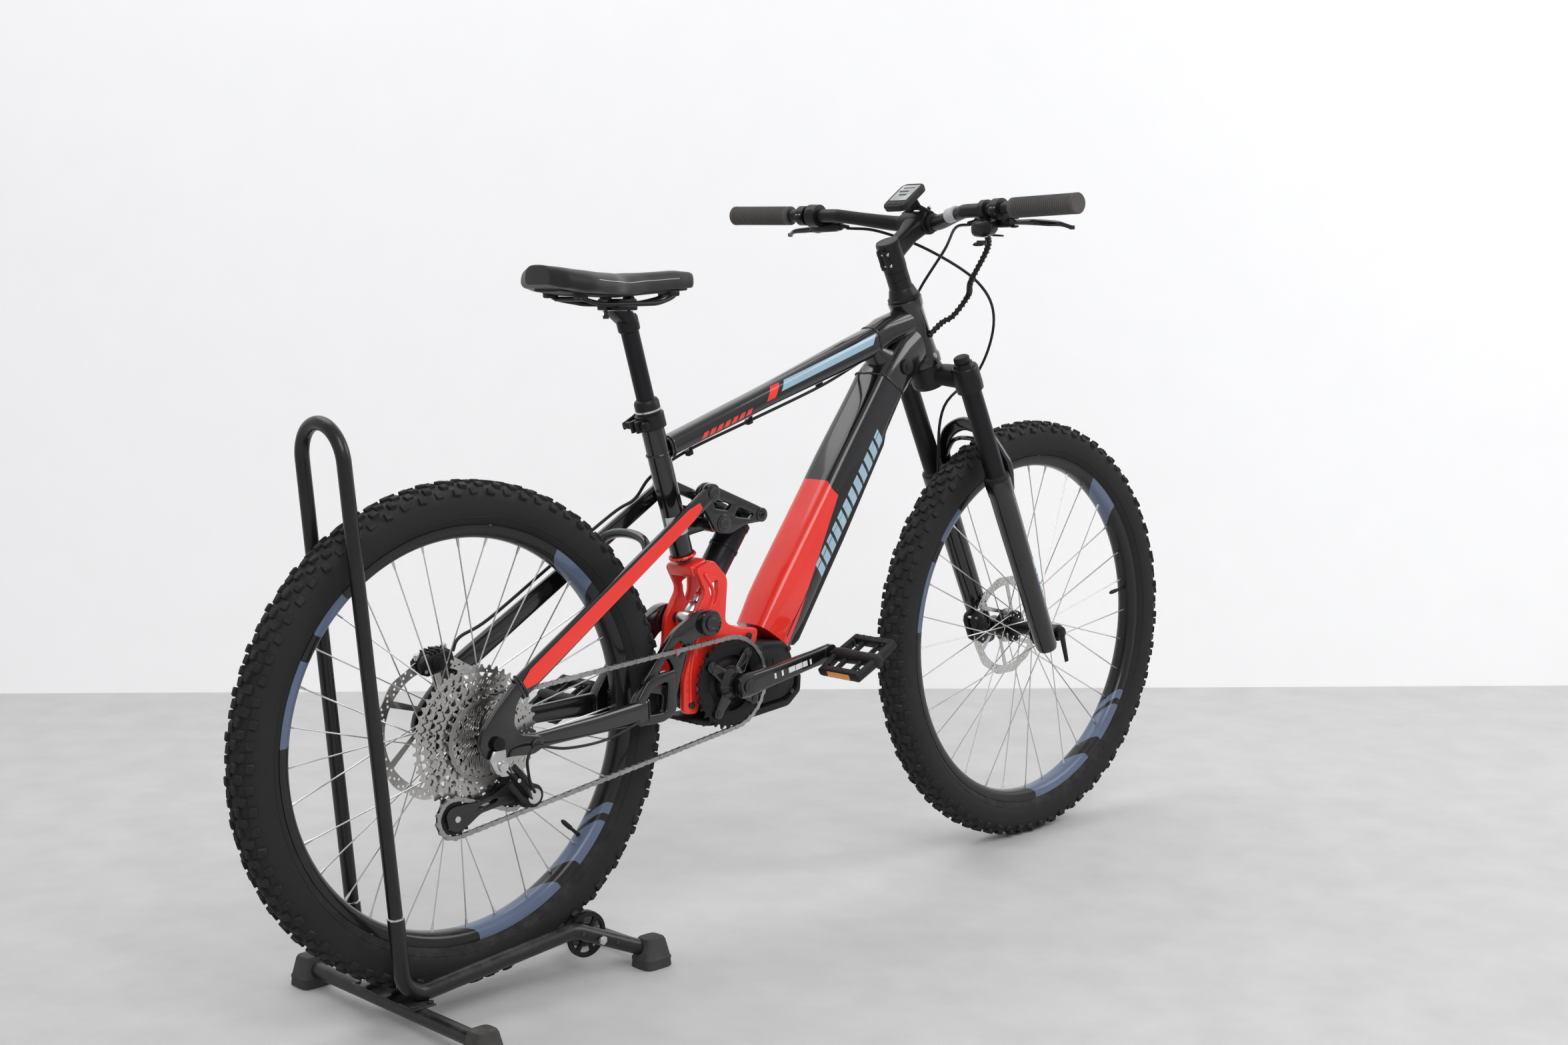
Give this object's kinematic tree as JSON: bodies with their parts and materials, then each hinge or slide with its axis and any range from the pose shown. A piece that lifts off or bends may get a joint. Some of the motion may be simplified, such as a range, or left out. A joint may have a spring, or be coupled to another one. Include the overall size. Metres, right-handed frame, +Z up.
{
  "type": "bicycle on stand",
  "caption": "Full-suspension electric mountain bicycle with its rear wheel held in a tubular hoop floor stand.",
  "frame": {"origin": "on the floor, in the wheel plane, midway between the back of the rear tyre and the front of the front tyre", "axes": "+X towards the front wheel, +Y to the rider's left, +Z up"},
  "size_m": [1.9494, 0.7582, 1.1487],
  "materials": {
    "black_paint": "gloss",
    "red_paint": "gloss",
    "satin_black": "satin",
    "tyre_rubber": "matte",
    "rubber": "satin",
    "steel": "satin",
    "plastic": "matte",
    "stand_paint": "satin",
    "grip_rubber": "matte",
    "saddle_cover": "matte"
  },
  "bodies": {
    "stand": {"stand_hoop": "stand_paint", "stand_rails": "stand_paint", "stand_cross_tube": "stand_paint", "stand_roller_axle": "steel"},
    "roller": {"stand_roller": "plastic"},
    "frame": {"head_tube": "black_paint", "top_tube": "black_paint", "seat_tube": "black_paint", "down_tube": "red_paint", "motor_cradle": "red_paint", "motor": "satin_black", "motor_guard": "plastic", "seat_clamp": "black_paint", "rear_brake_hose": "rubber", "control_cables": "rubber", "chain": "steel"},
    "battery_pack": {"battery": "satin_black"},
    "clamp_lever": {"seat_clamp_lever": "satin_black"},
    "saddle_post": {"seatpost": "satin_black", "saddle": "saddle_cover", "saddle_rails": "black_paint"},
    "swingarm": {"chainstays": "black_paint"},
    "rear_triangle": {"seatstays": "black_paint", "rear_axle": "satin_black", "derailleur": "plastic", "rear_caliper": "black_paint"},
    "rear_wheel": {"rear_tyre": "tyre_rubber", "rear_rim": "black_paint", "rear_hub": "satin_black", "rear_rotor": "steel"},
    "cassette_drum": {"cassette": "steel"},
    "cage": {"derailleur_cage": "plastic"},
    "guide_wheel": {"guide_pulley": "plastic"},
    "tension_wheel": {"tension_pulley": "plastic"},
    "rocker_link": {"rocker": "black_paint"},
    "shock_can": {"shock_body": "satin_black"},
    "shock_rod": {"shock_shaft": "satin_black"},
    "crankset": {"cranks": "black_paint", "chainring": "black_paint"},
    "right_pedal": {"pedal_right": "plastic"},
    "left_pedal": {"pedal_left": "plastic"},
    "steerer": {"fork_crown": "black_paint", "stem": "satin_black", "handlebar": "satin_black", "grip_right": "grip_rubber", "grip_left": "grip_rubber", "brake_mount_right": "black_paint", "brake_mount_left": "black_paint", "display": "plastic", "front_brake_hose": "rubber"},
    "fork_slider": {"fork_lowers": "black_paint", "front_axle": "satin_black", "front_caliper": "black_paint"},
    "front_wheel": {"front_tyre": "tyre_rubber", "front_rim": "black_paint", "front_hub": "satin_black", "front_rotor": "steel"},
    "shift_thumb": {"shift_paddle": "plastic"},
    "right_lever": {"brake_lever_right": "black_paint"},
    "left_lever": {"brake_lever_left": "black_paint"}
  },
  "joints": [
    {"name": "roller_spin", "type": "hinge", "parent": "stand", "child": "roller", "pos_m": [-0.43935, 0, 0.05815], "axis": [0, 1, 0], "continuous": true},
    {"name": "roll_out", "type": "slide", "parent": "stand", "child": "frame", "axis": [0.766, 0, 0.6428], "range_m": [0, 0.45]},
    {"name": "swingarm_pivot", "type": "hinge", "parent": "frame", "child": "swingarm", "pos_m": [-0.20452, 0, 0.4857], "axis": [0, 1, 0], "range_deg": [0, 14.5], "stiffness_Nm_per_rad": 220, "springref_deg": -25.78, "deforming": ["chain"]},
    {"name": "dropout_pivot", "type": "hinge", "parent": "swingarm", "child": "rear_triangle", "pos_m": [-0.55765, 0, 0.3656], "axis": [0, 1, 0], "range_deg": [-4, 4]},
    {"name": "rocker_pivot", "type": "hinge", "parent": "frame", "child": "rocker_link", "pos_m": [-0.17112, 0, 0.632], "axis": [0, 1, 0], "range_deg": [-2, 42]},
    {"name": "shock_top", "type": "hinge", "parent": "rocker_link", "child": "shock_can", "pos_m": [-0.09312, 0, 0.639], "axis": [0, 1, 0], "range_deg": [-34, 2]},
    {"name": "shock_bottom", "type": "hinge", "parent": "frame", "child": "shock_rod", "pos_m": [-0.20452, 0, 0.4857], "axis": [0, 1, 0], "range_deg": [-2, 10]},
    {"name": "rear_wheel_spin", "type": "hinge", "parent": "rear_triangle", "child": "rear_wheel", "pos_m": [-0.62315, 0, 0.3765], "axis": [0, 1, 0], "continuous": true},
    {"name": "crank_spin", "type": "hinge", "parent": "frame", "child": "crankset", "pos_m": [-0.16312, 0, 0.389], "axis": [0, 1, 0], "continuous": true},
    {"name": "cassette_spin", "type": "hinge", "parent": "rear_triangle", "child": "cassette_drum", "pos_m": [-0.62315, 0, 0.3765], "axis": [0, 1, 0], "continuous": true},
    {"name": "cage_pivot", "type": "hinge", "parent": "rear_triangle", "child": "cage", "pos_m": [-0.56215, -0.0505, 0.2935], "axis": [0, -1, 0], "range_deg": [0, 80], "stiffness_Nm_per_rad": 0.25, "springref_deg": -34.38},
    {"name": "guide_pulley_spin", "type": "hinge", "parent": "cage", "child": "guide_wheel", "pos_m": [-0.57515, -0.0505, 0.2985], "axis": [0, 1, 0], "continuous": true},
    {"name": "tension_pulley_spin", "type": "hinge", "parent": "cage", "child": "tension_wheel", "pos_m": [-0.67115, -0.0505, 0.2765], "axis": [0, 1, 0], "continuous": true},
    {"name": "right_pedal_spin", "type": "hinge", "parent": "crankset", "child": "right_pedal", "pos_m": [0.00425, 0, 0.41881], "axis": [0, 1, 0], "continuous": true},
    {"name": "left_pedal_spin", "type": "hinge", "parent": "crankset", "child": "left_pedal", "pos_m": [-0.33049, 0, 0.35919], "axis": [0, 1, 0], "continuous": true},
    {"name": "steering", "type": "hinge", "parent": "frame", "child": "steerer", "pos_m": [0.32819, 0, 0.85391], "axis": [-0.4147, 0, 0.91], "range_deg": [-60, 60], "deforming": ["rear_brake_hose", "control_cables"]},
    {"name": "fork_travel", "type": "slide", "parent": "steerer", "child": "fork_slider", "axis": [-0.4147, 0, 0.91], "range_m": [0, 0.12], "stiffness_N_per_m": 4500, "springref_m": -0.05, "deforming": ["front_brake_hose"]},
    {"name": "front_wheel_spin", "type": "hinge", "parent": "fork_slider", "child": "front_wheel", "pos_m": [0.60285, 0, 0.3718], "axis": [0, 1, 0], "continuous": true},
    {"name": "right_brake_pull", "type": "hinge", "parent": "steerer", "child": "right_lever", "pos_m": [0.29601, -0.217, 1.08222], "axis": [0, 0, -1], "range_deg": [0, 14], "stiffness_Nm_per_rad": 1.2, "springref_deg": -20.05},
    {"name": "left_brake_pull", "type": "hinge", "parent": "steerer", "child": "left_lever", "pos_m": [0.29601, 0.217, 1.08222], "axis": [0, 0, 1], "range_deg": [0, 14], "stiffness_Nm_per_rad": 1.2, "springref_deg": -20.05},
    {"name": "shift_push", "type": "hinge", "parent": "steerer", "child": "shift_thumb", "pos_m": [0.2554, -0.185, 1.05245], "axis": [0, 0, 1], "range_deg": [0, 18], "stiffness_Nm_per_rad": 0.4, "springref_deg": -22.92},
    {"name": "saddle_drop", "type": "slide", "parent": "frame", "child": "saddle_post", "axis": [0.2756, 0, -0.9613], "range_m": [0, 0.09]},
    {"name": "clamp_lever_swing", "type": "hinge", "parent": "frame", "child": "clamp_lever", "pos_m": [-0.29715, 0, 0.78311], "axis": [0, -1, 0], "range_deg": [0, 110]},
    {"name": "battery_swing", "type": "hinge", "parent": "frame", "child": "battery_pack", "pos_m": [-0.0086, 0, 0.42076], "axis": [0, 1, 0], "range_deg": [0, 2.8]}
  ],
  "couplings": [
    {"joint": "dropout_pivot", "follows": "swingarm_pivot", "ratio": -0.17},
    {"joint": "rocker_pivot", "follows": "swingarm_pivot", "ratio": 2.62},
    {"joint": "shock_top", "follows": "swingarm_pivot", "ratio": -2.04},
    {"joint": "shock_bottom", "follows": "swingarm_pivot", "ratio": 0.56},
    {"joint": "cassette_spin", "follows": "crank_spin", "ratio": 1.3333}
  ]
}
